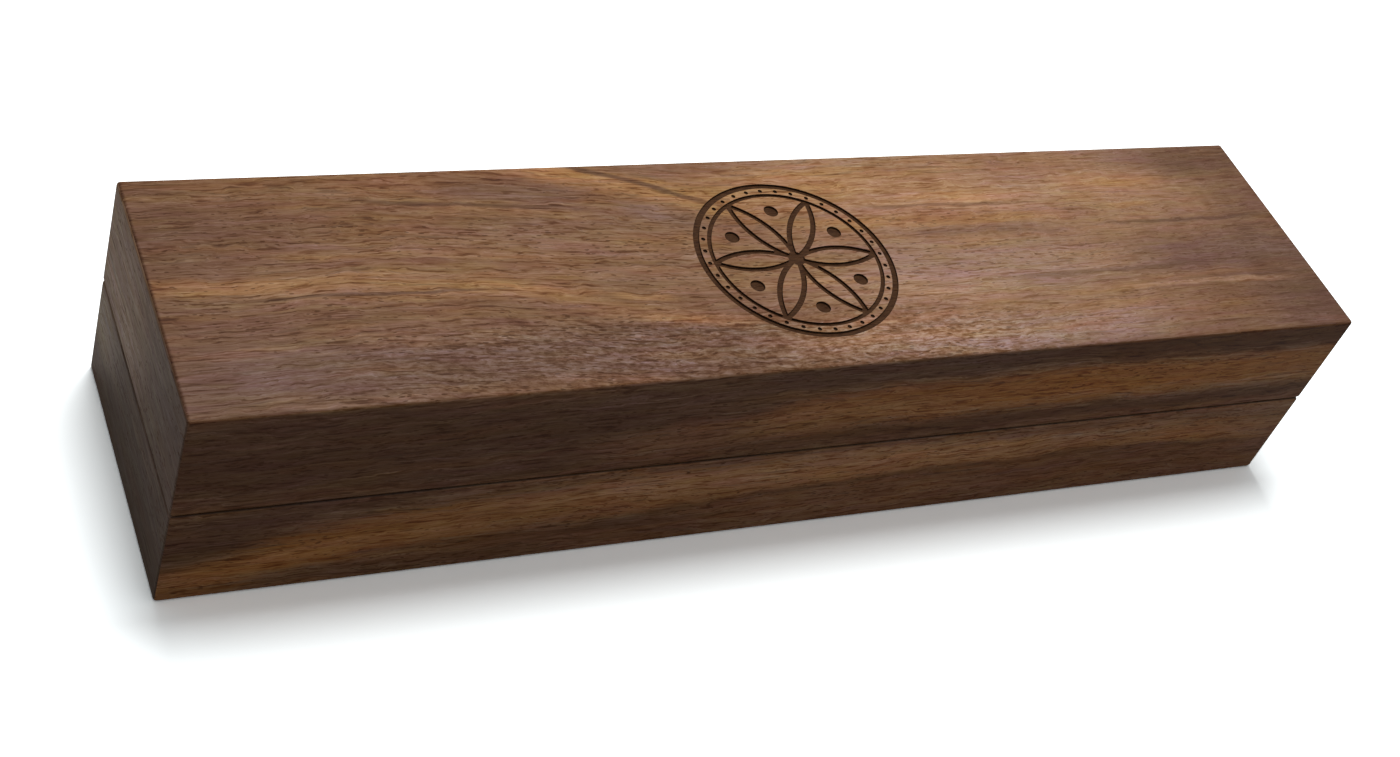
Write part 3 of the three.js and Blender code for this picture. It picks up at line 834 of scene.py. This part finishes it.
# Figure of the boards that the photograph shows: colour, middle x, middle y, half length, half width,
# strength, and slope and bend where it has them
TOP_FIGURE = [
    (UMBER, -176, 0, 40, 60, 0.4),
    (PLUM, 178, -20, 50, 34, 0.85),
    (UMBER, 176, -32, 30, 20, 0.5),
    (PLUM, 100, 34, 44, 6, 0.35),
    (HONEY, -70, 22, 90, 24, 0.14),
    (PLUM, -150, 16, 40, 11, 0.4, -0.03),
    (HEATHER, -74, -28, 140, 14, 0.8),
    (TAN, 18, -30, 46, 8, 0.6),
    (PLUM, 80, -36, 120, 3.5, 0.5),
    (TAN, 66, 24, 100, 26, 0.9, 0.01),
    (TAN, 54, -19, 80, 20, 0.7),
    (MAUVE, 55, -31, 58, 9, 0.5),
    (MAUVE, 56, -8, 54, 18, 0.25),
    (RUSSET, 88, 32, 26, 9, 0.45),
    (PLUM, 132, 32, 26, 9, 0.4),
    (PLUM, 86, -14, 32, 9, 0.2),
    (PLUM, 144, -7, 52, 10, 0.85),
    (UMBER, 160, 12, 20, 24, 0.28),
    (UMBER, 156, 31, 30, 9, 0.65, 0.02),
    (UMBER, 160, -21, 24, 22, 0.45),
    (UMBER, -152, -8, 22, 15, 0.2),
    (UMBER, -132, -15, 22, 8, 0.2),
    (UMBER, -148, -32, 34, 9, 0.22),
    (UMBER, -156, 1, 26, 9, 0.15),
    (GOLD, 54, 17, 40, 8, 0.35),
    (HEATHER, -44, 0, 22, 9, 0.3),
    (PLUM, -71, 28, 26, 6, 0.6, -0.18),
    (HONEY, -142, 1.5, 50, 4.2, 0.5, -0.015),
    (HONEY, -86, -4.5, 34, 4.2, 0.5, -0.15, -0.0006),
    (HONEY, -42, -17, 30, 4.2, 0.4, -0.2),
    (HONEY, -47, -10, 10, 1.6, 0.6, -0.15),
    (HONEY, -42, -18, 11, 1.8, 0.6, -0.15),
    (HONEY, -36, 28, 40, 5.4, 0.8, -0.3),
    (HONEY, 6, 26, 34, 10, 0.75),
    (HONEY, 36, 12, 26, 2, 0.7),
    (HONEY, 40, 27, 40, 7, 0.6, -0.1),
    (HEATHER, -32, 18, 14, 3.4, 0.5, -0.3),
    (HONEY, 66, 11, 34, 2.4, 0.75),
    (HONEY, 112, 22, 26, 8, 0.55, 0.05),
    (HONEY, 84, -25, 26, 2.6, 0.4),
    (HONEY, 20, -24, 20, 2.6, 0.4),
    (TAN, 122, -18.5, 40, 1.4, 0.6),
    (UMBER, -118, -3.6, 40, 0.8, 0.85, -0.03),
    (UMBER, -84, 24.5, 34, 1.1, 0.75, -0.13),
    (UMBER, -36, 30.2, 27, 1.4, 0.85, -0.43),
    (PLUM, 52, 17, 34, 1, 0.6, -0.02),
    (PLUM, 60, 6.5, 34, 2.4, 0.4, -0.02),
    (UMBER, 133, 7, 36, 1, 0.75),
    (UMBER, 96, -11, 46, 1.4, 0.45, 0.01),
    (MAUVE, -54, 15, 36, 7, 0.17),
    # Painted shade on the top's left arris, which faces away from the light
    (INK, -165.2, 0, 1.35, 60, 0.85),
]
TOP_PORES = (-30, -29, 130, 17, 1.0, -0.04, -0.0003)
LID_FRONT_FIGURE = [
    (UMBER, -112, 47, 118, 30, 0.85),
    (RUSSET, -24, 41, 50, 7.5, 0.65, 0.04),
    (AMBER, 2, 47.5, 26, 5, 0.6, 0.09),
    (COPPER, 92, 47.5, 110, 8.6, 0.9, 0.014),
    (MAHOGANY, 84, 36, 134, 3.7, 0.85, 0.006),
    (WHEAT, 11, 42, 42, 6, 0.6, 0.03),
    (RUSSET, 120, 33, 70, 2.6, 0.5),
    (UMBER, 66, 60.5, 150, 6, 1, 0.005),
    (UMBER, 14, 57.5, 56, 5, 0.7, 0.02),
    (MAHOGANY, 140, 60, 100, 6.4, 0.95),
]
BASE_FRONT_FIGURE = [
    (RUST, 40, 6, 160, 10, 0.35),
    (RUSSET, 84, 10, 136, 12, 0.55),
    (UMBER, -140, 27.5, 60, 6.5, 0.85, 0.14),
    (UMBER, -90, 4, 76, 8, 0.4, 0.06),
    (AMBER, -126, 14.6, 56, 8.5, 0.9, 0.18, -0.0016),
    (UMBER, -166, 16.5, 30, 8, 0.85, 0.1),
    (WHEAT, -68, 20, 58, 8.5, 0.9, 0.05, -0.0006),
    (WHEAT, 60, 22.5, 150, 7.5, 0.9, 0, -0.0003),
    (GOLD, 6, 23.5, 96, 6, 0.9),
    (GOLD, 22, 28.6, 46, 2.2, 0.6),
    (TAN, 100, 25, 30, 2.2, 0.6),
    (RUST, 112, 29.4, 72, 2.4, 0.6),
    (UMBER, -54, 10.5, 36, 2, 0.4, 0.2),
    (UMBER, 60, 17.6, 150, 1.5, 0.5, 0, -0.00045),
]
# End boards: middle x is measured towards the back. Their marks are painted reflection and shade: lighter
# and greyer towards the back, darker towards the front
LID_END_PAINTED_SHADE_AND_REFLECTION = [
    (ASH, -44, 44, 64, 40, 0.9),
    (INK, -46, 50, 34, 60, 0.6),
    (DRAB, 30, 55, 40, 12, 0.6, 0.1),
    (DRAB, 27, 39.5, 34, 10, 0.95, 0.1),
]
BASE_END_PAINTED_SHADE_AND_REFLECTION = [
    (ASH, -24, 8, 90, 40, 0.9),
    (INK, -34, 8, 24, 12, 0.3),
    (DRAB, 34, 24, 26, 11, 0.8, 0.1),
    (OAT, 40, 22, 21, 14, 0.8, 0.1),
]

# Engraved places: burnt floor, sooty walls, and the pitch of the passes that cut them
CHAR_DARK = (0.026, 0.009, 0.003)
CHAR_LIGHT = (0.088, 0.039, 0.015)
# This dark colour also paints the shade on the arrises along the seam
SOOT_AND_SEAM_SHADE = (0.014, 0.006, 0.003)
PASS_PITCH = 0.55 * MM
PASS_DEPTH = 0.02
SCORCH_START, SCORCH_FULL = 0.05 * MM, 0.16 * MM
WALL_FOOT, WALL_TOP = 0.96, 0.6

# Painted shade: a dark line on the outer arrises along the seam, standing in for the seam's shadow, this
# far from it
SEAM_SHADE_REACH = 0.65 * MM

# Turns a board's own place into x along the grain and y across its face. With it the strength of the
# painted seam shade on its arrises
GRAIN_TURNS = {
    "top": (Matrix.Identity(3), 0.85),
    "front": (Matrix(((1, 0, 0), (0, 0, 1), (0, -1, 0))), 0.85),
    "end": (Matrix(((0, 1, 0), (0, 0, 1), (1, 0, 0))), 0.2),
}
# Where along a board the fibres fall, and where its texture grows calm
FALL_SPAN = (-130.0, 0.0)
CALM_SPAN = (-60.0, 120.0)


def emptied(owner):
    """The nodes of a material or world, from a clean start."""
    owner.use_nodes = True
    owner.node_tree.nodes.clear()
    n = Nodes(owner.node_tree)
    n.owner = owner
    return n


def new_material(name, **mapping):
    """The nodes of a material, the piece's own coordinates in metres, and the same in millimetres."""
    n = emptied(bpy.data.materials.new(name))
    source = n.add("ShaderNodeTexCoord").outputs["Object"]
    place = n.add("ShaderNodeMapping", {"Vector": source, "Scale": (PER_MM,) * 3} | mapping).outputs[0]
    return n, source, place


def surface(n, colour, rough, height, bump, specular, more=None):
    """Ends a material with its shader."""
    normal = n.add("ShaderNodeBump", {"Height": height, "Strength": bump, "Distance": MM})
    looks = {"Base Color": colour, "Roughness": rough, "Normal": normal, "Specular IOR Level": specular}
    n.add("ShaderNodeOutputMaterial", {"Surface": n.add("ShaderNodeBsdfPrincipled", looks | (more or {}))})
    return n.owner


def walnut(
    name, turn, seed, figure=(), shade=1.0, fall=0.0, plain=0.0, calm=1.0, engraved=False, sheen=0.12,
    porous=None, curl=0.05, banding=0.2,
):
    """Satin walnut for one board. Its fibres fall by so many millimetres over its left half, its texture
    calms to the right, and its pores are larger in the porous streak."""
    turning, arris = GRAIN_TURNS[turn]
    n, source, place = new_material(name, Rotation=turning.to_euler())
    along = n.parts(place)[0]
    texture = n.span(along, *CALM_SPAN, 1.0, calm)
    coarseness = streak(n, porous, place, 0.5) if porous else 0.0
    grain = n.add("ShaderNodeGroup", {
        "Place": place, "Seed": float(seed), "Flow": n.span(along, *FALL_SPAN, 0.0, fall, smooth=True),
        "Pore size": n.math("MULTIPLY_ADD", coarseness, PORE_GROWTH, PORE_SIZE),
    }, node_tree=GRAIN).outputs

    # Colour: slow bands, then the figure, then the casts
    dark = n.mix(n.span(grain["Tone"], 0.36, 0.5), UMBER, BROWN)
    colour = n.mix(n.span(grain["Tone"], 0.5, 0.66), dark, HONEY)
    colour = n.mix(plain, colour, BROWN)
    for tint, *numbers in figure:
        colour = n.mix(streak(n, numbers, grain["Bent"], grain["Fibre"]), colour, tint)
    for pattern, start, full, most, cast in CASTS:
        share = n.span(grain[pattern], start, full, 0.0, most)
        colour = n.mix(share, colour, n.mix(1, colour, cast, "MULTIPLY"))

    # Light and dark: pattern, where it is dark and light, how dark and light it is, and its share
    tones = (
        ("Fibre", 0.3, 0.7, -0.44, 0.44, texture),
        ("Dashes", 0.32, 0.48, -0.64, 0.1, texture),
        ("Mottle", 0.34, 0.6, -0.6, 0.2, coarseness),
        ("Hairs", 0.3, 0.7, -0.28, 0.28, 1.0),
        ("Curl", 0.32, 0.68, -curl, curl, 1.0),
        ("Tone", 0.35, 0.65, -banding, banding, 1.0),
    )
    light = n.times(*(
        n.plus(n.times(n.span(grain[pattern], low, high, darkest, lightest), share), 1.0)
        for pattern, low, high, darkest, lightest, share in tones
    ))
    deepened = n.joined(*(n.math("POWER", light, power) for power in DEEPENING))
    colour = n.mix(1, colour, n.vector("MULTIPLY", deepened, (shade, shade, shade)), "MULTIPLY")
    dark = n.math("MAXIMUM", n.times(grain["Pores"], 0.72), n.times(grain["Threads"], 0.45))
    colour = n.mix(n.times(dark, texture), colour, INK)
    # Painted shade along the seam; arris is its strength
    colour = painted_seam_shade(n, source, colour, arris)

    rough = n.plus(n.span(grain["Fibre"], 0.3, 0.7, 0.5, 0.4), n.times(grain["Pores"], 0.25))
    height = n.weighted((grain["Fibre"], 0.02), (grain["Pores"], -0.035))
    if engraved:
        colour, rough, height = scorched(n, source, place, colour, rough, height)
    return surface(n, colour, rough, height, 0.5, sheen)


def streak(n, numbers, place, fibre):
    inputs = {key: float(value) for key, value in zip(STREAK_INPUTS, numbers)}
    return n.add("ShaderNodeGroup", inputs | {"Place": place, "Fibre": fibre}, node_tree=STREAK).outputs[0]


def painted_seam_shade(n, source, colour, strength):
    """Painted shade: a dark line on the outer arrises along the seam, standing in for the seam's shadow."""
    x, y, z = n.parts(source)
    height = n.size(n.minus(z, SEAM))
    near = n.span(height, SEAM_SHADE_REACH, SEAM_SHADE_REACH * 0.45, smooth=True)
    end = n.minus(n.size(x), HALF_LENGTH)
    side = n.minus(n.size(y), HALF_WIDTH)
    outer = n.span(n.math("MAXIMUM", end, side), -SEAM_SHADE_REACH, -SEAM_SHADE_REACH * 0.8)
    return n.mix(n.times(near, outer, strength), colour, SOOT_AND_SEAM_SHADE)


def scorched(n, source, place, colour, rough, height):
    """Burnt brown in the engraving, with the marks of its passes."""
    x, y, z = n.parts(source)
    radius = n.vector("LENGTH", n.joined(x, y, 0.0))
    inside = n.math("LESS_THAN", radius, OUTER_RING[0] + OUTER_RING[1])
    burnt = n.times(n.span(z, LID_TOP - SCORCH_START, LID_TOP - SCORCH_FULL), inside)
    wall = n.span(z, LID_TOP - ENGRAVE_DEPTH * WALL_FOOT, LID_TOP - ENGRAVE_DEPTH * WALL_TOP)
    flecks = n.noise(place, (0.5, 2.2, 2.2), 3, 0.6)
    passes = n.math("SINE", n.times(y, 2 * pi / PASS_PITCH))
    char = n.mix(n.span(flecks, 0.3, 0.7), CHAR_DARK, CHAR_LIGHT)
    char = n.mix(n.span(passes, -1.0, 1.0, 0.0, 0.45), char, CHAR_DARK)
    colour = n.mix(burnt, colour, n.mix(wall, char, SOOT_AND_SEAM_SHADE))
    marks = n.times(passes, burnt, PASS_DEPTH)
    return colour, n.plus(rough, n.times(burnt, 0.3)), n.plus(height, marks)


# Black nap, card, brass and nickel: linear colours, dark or dull first
NAP_BLACK = ((0.009, 0.009, 0.010), (0.030, 0.030, 0.034))
CARD_GREY = ((0.145, 0.132, 0.115), (0.215, 0.2, 0.178))
BRASS = ((0.34, 0.21, 0.075), (0.72, 0.49, 0.2))
NICKEL = ((0.36, 0.35, 0.33), (0.68, 0.67, 0.64))


def nap(name, seed):
    """Short black velvet: brushed patches, fine tufts and a grey sheen."""
    n, _, place = new_material(name, Location=(seed * 31.0, seed * 17.0, seed * 7.0))
    brushed = n.noise(place, (0.035, 0.06, 0.06), 3, 0.55)
    tufts = n.noise(place, (2.6, 2.6, 2.6), 3, 0.65)
    weave = n.noise(place, (0.7, 0.9, 0.9), 2, 0.5)
    tone = n.span(n.weighted((brushed, 0.55), (tufts, 0.45)), 0.35, 0.65)
    height = n.weighted((tufts, 0.12), (weave, 0.08))
    rough = n.span(tufts, 0.3, 0.7, 0.98, 0.86)
    return surface(n, n.mix(tone, *NAP_BLACK), rough, height, 0.7, 0.15, {
        "Sheen Weight": 0.35, "Sheen Roughness": 0.45, "Sheen Tint": (0.55, 0.56, 0.62, 1),
    })


def card(name):
    """Grey pulp board: faint mottle and short fibres."""
    n, _, place = new_material(name)
    mottle = n.noise(place, (0.25, 0.25, 0.25), 4, 0.6)
    fibres = n.noise(place, (0.9, 3.0, 3.0), 3, 0.6)
    tone = n.weighted((mottle, 0.5), (fibres, 0.5))
    colour = n.mix(n.span(tone, 0.35, 0.65), *CARD_GREY)
    rough = n.span(mottle, 0.3, 0.7, 0.95, 0.82)
    return surface(n, colour, rough, n.times(tone, 0.06), 0.5, 0.2)


def metal(name, dull, bright, brushing, rough, tarnish):
    """A brushed metal with fine scratches and a little tarnish."""
    n, _, place = new_material(name)
    scratches = n.noise(place, brushing, 4, 0.65)
    clouds = n.noise(place, (0.16, 0.16, 0.16), 4, 0.6)
    stain = n.times(n.span(clouds, 0.45, 0.72, smooth=True), tarnish)
    colour = n.mix(stain, bright, dull)
    colour = n.mix(n.span(scratches, 0.35, 0.7, 0.0, 0.22), colour, dull)
    roughness = n.plus(n.span(scratches, 0.3, 0.7, rough * 0.75, rough * 1.3), n.times(stain, 0.18))
    return surface(n, colour, roughness, n.times(scratches, 0.02), 0.4, 0.5, {"Metallic": 1.0})


# Lining
BED_VOXEL = 0.9 * MM
FLOOR_VOXEL = 1.3 * MM
PAD_VOXEL = 3.0 * MM
BED_RIPPLE = 0.18 * MM
FLOOR_RIPPLE = 0.12 * MM
GLUE_HEIGHT = 1.6 * MM
MOST_SWELL = 1.4 * MM
PAD_CROWN = 1.5 * MM
CLOTH = {
    "quality": 6, "mass": 0.15, "tension_stiffness": 12, "compression_stiffness": 12, "shear_stiffness": 6,
    "bending_stiffness": 0.15, "shrink_min": -0.035, "use_pressure": True, "uniform_pressure_force": 4,
    "vertex_group_mass": "glued",
}
CLOTH_STEPS = 20


def soft_copy(node, name, voxel, smoothing):
    """A softened, even mesh over a CAD solid, as a new object."""
    shape = bmesh.new()
    shape.from_mesh(frame["nodes"][node].data)
    bmesh.ops.remove_doubles(shape, verts=shape.verts[:], dist=SAME_PLACE)
    obj = modified(object_of(name, shape), "REMESH", mode="VOXEL", voxel_size=voxel)
    return modified(obj, "SMOOTH", factor=0.5, iterations=smoothing)


def kept_inside(obj, low, high):
    """Holds every point of a mesh between two corners."""
    for vert in obj.data.vertices:
        vert.co = [min(max(place, a), b) for place, a, b in zip(vert.co, low, high)]
    return obj


def foam(node, name, voxel, smoothing, ripples, start, depth, from_foot=False):
    """Foam with rolled edges and a gentle ripple, which may grow from nothing at its foot."""
    low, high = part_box(node)
    soft = soft_copy(node, name, voxel, smoothing)
    for vert in soft.data.vertices:
        x, y, z = (place / MM * ripple for place, ripple in zip(vert.co, ripples))
        share = min(max((vert.co.z - low.z) / (high.z - low.z), 0), 1) if from_foot else 1
        vert.co.z += noise.noise((x, y, z + start)) * depth * share
    return smooth_all(kept_inside(soft, low, high))


def blown_up(pad, top):
    """Swells a pad's cover under pressure, held where it is glued."""
    start = [v.co.copy() for v in pad.data.vertices]
    glued = pad.vertex_groups.new(name="glued")
    glued.add([v.index for v in pad.data.vertices if v.co.z > top - GLUE_HEIGHT], 1.0, "REPLACE")
    cover = pad.modifiers.new("cover", "CLOTH").settings
    for name, value in CLOTH.items():
        setattr(cover, name, value)
    cover.effector_weights.gravity = 0
    scene = bpy.context.scene
    for step in range(1, CLOTH_STEPS + 1):
        scene.frame_set(step)
    applied(pad)
    pad.vertex_groups.clear()
    for vert, old in zip(pad.data.vertices, start):
        move = vert.co - old
        if move.length > MOST_SWELL:
            vert.co = old + move.normalized() * MOST_SWELL
    scene.frame_set(1)


def lid_pad():
    """The crowned pad in the lid."""
    low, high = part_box("lid_pad")
    pad = soft_copy("lid_pad", "lid_pad_lining", PAD_VOXEL, 2)
    blown_up(pad, high.z)
    crown = (low.x, low.y, low.z - PAD_CROWN)
    modified(kept_inside(pad, crown, high), "SUBSURF", levels=2, render_levels=2)
    return smooth_all(kept_inside(pad, crown, high))


# Finishes

def finish_piece(obj, body, slot, material, *nodes):
    """Gives a piece its finish and its body, and hides the CAD nodes that it stands for."""
    if material is not None:
        obj.data.materials.clear()
        obj.data.materials.append(material)
    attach(obj, body)
    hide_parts(*nodes)


BOARD_FINISHES = {
    "lid_top_panel": dict(
        turn="top", seed=3, figure=TOP_FIGURE, plain=0.75, fall=9.0, calm=0.55, shade=0.93, engraved=True,
        sheen=0.1, porous=TOP_PORES, curl=0.12, banding=0.12,
    ),
    "lid_front_rail": dict(turn="front", seed=8, figure=LID_FRONT_FIGURE, plain=0.5, shade=1.03, sheen=0.1),
    "base_front_rail": dict(turn="front", seed=12, figure=BASE_FRONT_FIGURE, plain=0.5),
    "lid_back_rail": dict(turn="front", seed=21),
    "base_back_rail": dict(turn="front", seed=27),
    # Painted reflection and shade: the lid's end lighter (shade 1.1), the base's end darker (shade 0.66)
    "lid_left_rail": dict(turn="end", seed=33, figure=LID_END_PAINTED_SHADE_AND_REFLECTION, plain=0.6, shade=1.1),
    "base_left_rail": dict(turn="end", seed=38, figure=BASE_END_PAINTED_SHADE_AND_REFLECTION, plain=0.6, shade=0.66),
    "lid_right_rail": dict(turn="end", seed=45),
    "base_right_rail": dict(turn="end", seed=49),
    "base_bottom_panel": dict(turn="top", seed=57),
}

for node, board in woodwork().items():
    finish = walnut(f"walnut_{board.name}", **BOARD_FINISHES[node])
    finish_piece(board, node.split("_")[0], "walnut", finish, node)

brass = metal("brushed_brass", *BRASS, (0.12, 5.0, 5.0), 0.3, 0.5)
nickel = metal("satin_nickel", *NICKEL, (2.5, 2.5, 2.5), 0.26, 0.35)
for side in PAIR:
    for body in HALVES:
        finish_piece(hinge_leaf(body, side), body, "brass", brass, f"{body}_hinge_leaf_{side}")
    finish_piece(hinge_pin(side), "base", "brass", brass, f"hinge_pin_{side}")

pieces_tree = scatter_tree()
screw = screw_blank()
for body, seed in (("base", 2), ("lid", 5)):
    nodes = [f"{body}_hinge_screw_{side}_{end}" for side in PAIR for end in ("outer", "inner")]
    upside_down = body == "lid"
    heads = [
        ((low.x + high.x) / 2, (low.y + high.y) / 2, low.z if upside_down else high.z)
        for low, high in map(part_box, nodes)
    ]
    screws = grown(f"{body}_hinge_screws", pieces_tree, heads, {
        "Blank": screw, "Upside down": upside_down, "Seed": seed, "Finish": brass,
    })
    finish_piece(shaded(screws, HARDWARE_SHARP), body, "brass", None, *nodes)
bpy.data.objects.remove(screw)

disc = magnet_disc()
for body in HALVES:
    nodes = [f"{body}_magnet_{side}" for side in PAIR]
    middles = [(low + high) / 2 for low, high in map(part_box, nodes)]
    discs = grown(f"{body}_magnets", pieces_tree, middles, {
        "Blank": disc, "Most turn": 0.0, "Finish": nickel,
    })
    finish_piece(shaded(discs, ROUND_SHARP), body, "nickel", None, *nodes)
bpy.data.objects.remove(disc)

knife_bed = foam("knife_bed", "knife_bed_lining", BED_VOXEL, 9, (0.05, 0.09, 0.09), 0, BED_RIPPLE, True)
floor_pad = foam("bed_floor_pad", "bed_floor_lining", FLOOR_VOXEL, 4, (0.06, 0.08, 0), 3, FLOOR_RIPPLE)
bed_nap = nap("black_nap_bed", 1)
pad_nap = nap("black_nap_pad", 2)
for soft, body, material, node, fill in (
    (knife_bed, "base", bed_nap, "knife_bed", 0.9),
    (floor_pad, "base", bed_nap, "bed_floor_pad", 0.8),
    (lid_pad(), "lid", pad_nap, "lid_pad", 0.7),
):
    finish_piece(soft, body, "black_lining", material, node)

pad_card = frame["nodes"]["lid_pad_board"]
pad_card.data.materials.clear()
pad_card.data.materials.append(card("grey_pad_card"))


# Floor, light and camera
FLOOR_HALF = 4.0
FLOOR_DROP = 0.05 * MM
FLOOR_SEEN = (2.0, 4.2)
FLOOR_FADE = (500.0, 1600.0)
FLOOR_MIRRORED = 0.5
FLOOR_BOUNCE = 0.25
FLOOR_HUE = (0.955, 1.0, 1.012)
WHITE = (1.0, 1.0, 1.0)
AMBIENT = 0.3
LAMP_PLACE = Vector((0.02, 0.23, 0.91))
LAMP_SIZE = 0.4
LAMP_POWER = 6.3


def by_ray(n, seen, mirrored, lighting):
    """One number for what the camera sees, one for reflections, one for lighting."""
    path = n.add("ShaderNodeLightPath").outputs
    through = n.math("ADD", path["Is Glossy Ray"], path["Is Transmission Ray"], clamp=True)
    away = n.span(through, 0.0, 1.0, lighting, mirrored)
    return n.span(path["Is Camera Ray"], 0.0, 1.0, away, seen)


def pale_floor():
    shape = bmesh.new()
    bmesh.ops.create_grid(shape, x_segments=1, y_segments=1, size=FLOOR_HALF)
    shape.transform(Matrix.Translation((0, 0, -FLOOR_DROP)))
    floor = object_of("floor", shape)
    n, _, place = new_material("pale_floor")
    seen = n.span(n.vector("LENGTH", place), *FLOOR_FADE, *FLOOR_SEEN)
    tone = by_ray(n, seen, FLOOR_MIRRORED, FLOOR_BOUNCE)
    hue = n.mix(n.add("ShaderNodeLightPath").outputs["Is Camera Ray"], WHITE, FLOOR_HUE)
    colour = n.vector("MULTIPLY", n.joined(tone, tone, tone), hue)
    n.add("ShaderNodeOutputMaterial", {"Surface": n.add("ShaderNodeBsdfDiffuse", {"Color": colour})})
    floor.data.materials.append(n.owner)


def studio():
    world = bpy.data.worlds.new("studio")
    bpy.context.scene.world = world
    n = emptied(world)
    glow = n.add("ShaderNodeBackground", {"Color": WHITE, "Strength": by_ray(n, 1.0, 1.0, AMBIENT)})
    n.add("ShaderNodeOutputWorld", {"Surface": glow})
    lamp = bpy.data.lights.new("overhead_softbox", "AREA")
    lamp.shape = "RECTANGLE"
    lamp.size = lamp.size_y = LAMP_SIZE
    lamp.energy = LAMP_POWER
    holder = new_object("overhead_softbox", lamp)
    holder.location = LAMP_PLACE
    holder.rotation_euler = (-LAMP_PLACE).to_track_quat("-Z", "Y").to_euler()


def camera():
    lens = bpy.data.cameras.new("camera")
    lens.sensor_width = SENSOR_WIDTH
    lens.lens = CAMERA_LENS
    lens.clip_start, lens.clip_end = CAMERA_REACH
    eye = new_object("camera", lens)
    eye.location = CAMERA_PLACE
    aim = (CAMERA_AIM - CAMERA_PLACE).to_track_quat("-Z", "Y")
    eye.rotation_euler = (aim @ Quaternion((0, 0, 1), CAMERA_ROLL)).to_euler()
    bpy.context.scene.camera = eye


pale_floor()
studio()
camera()
bpy.context.scene.view_settings.view_transform = "Standard"
